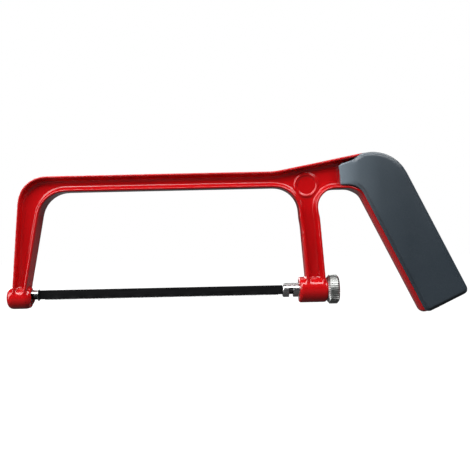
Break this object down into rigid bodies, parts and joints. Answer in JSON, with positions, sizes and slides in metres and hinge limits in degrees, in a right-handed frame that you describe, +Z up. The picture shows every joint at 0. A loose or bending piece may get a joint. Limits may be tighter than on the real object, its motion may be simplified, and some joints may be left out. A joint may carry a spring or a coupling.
{
  "type": "mini hacksaw",
  "caption": "Small hacksaw with a cast bow frame, closed pistol handle, pin-end blade and a knurled thumb nut that tightens the blade.",
  "frame": {"origin": "middle of the bounding box, at its lowest point", "axes": "+X from the toe to the handle, +Y across the saw to its right side, +Z up, with the teeth facing down"},
  "size_m": [0.2662, 0.022, 0.0934],
  "materials": {
    "red_enamel": "glossy red enamel over a zinc or aluminium casting",
    "bright_steel": "bright turned steel",
    "nickel_plate": "bright nickel plate",
    "blade_steel": "thin black lacquer on hardened steel",
    "pin_steel": "blackened steel",
    "grip_plastic": "satin moulded plastic, dark blue-grey, fine grain",
    "zinc_steel": "zinc plate"
  },
  "bodies": {
    "saw_frame": {"frame": "red_enamel", "front_stud": "bright_steel", "grip_left": "grip_plastic", "grip_right": "grip_plastic", "grip_screws": "zinc_steel"},
    "draw_bolt": {"draw_bolt": "bright_steel"},
    "thumb_nut": {"thumb_nut": "nickel_plate"},
    "blade": {"blade": "blade_steel", "blade_pin_front": "pin_steel", "blade_pin_rear": "pin_steel"}
  },
  "joints": [
    {"name": "nut_spin", "type": "hinge", "parent": "saw_frame", "child": "thumb_nut", "pos_m": [0.05648, 0, 0.01431], "axis": [1, 0, 0], "range_deg": [0, 720]},
    {"name": "bolt_slide", "type": "slide", "parent": "saw_frame", "child": "draw_bolt", "axis": [1, 0, 0], "range_m": [-0.002, 0]},
    {"name": "blade_drop", "type": "slide", "parent": "draw_bolt", "child": "blade", "axis": [0, 0, -1], "range_m": [0, 0.03]}
  ],
  "couplings": [
    {"joint": "nut_spin", "follows": "bolt_slide", "rad_per_m": -6283.2}
  ]
}
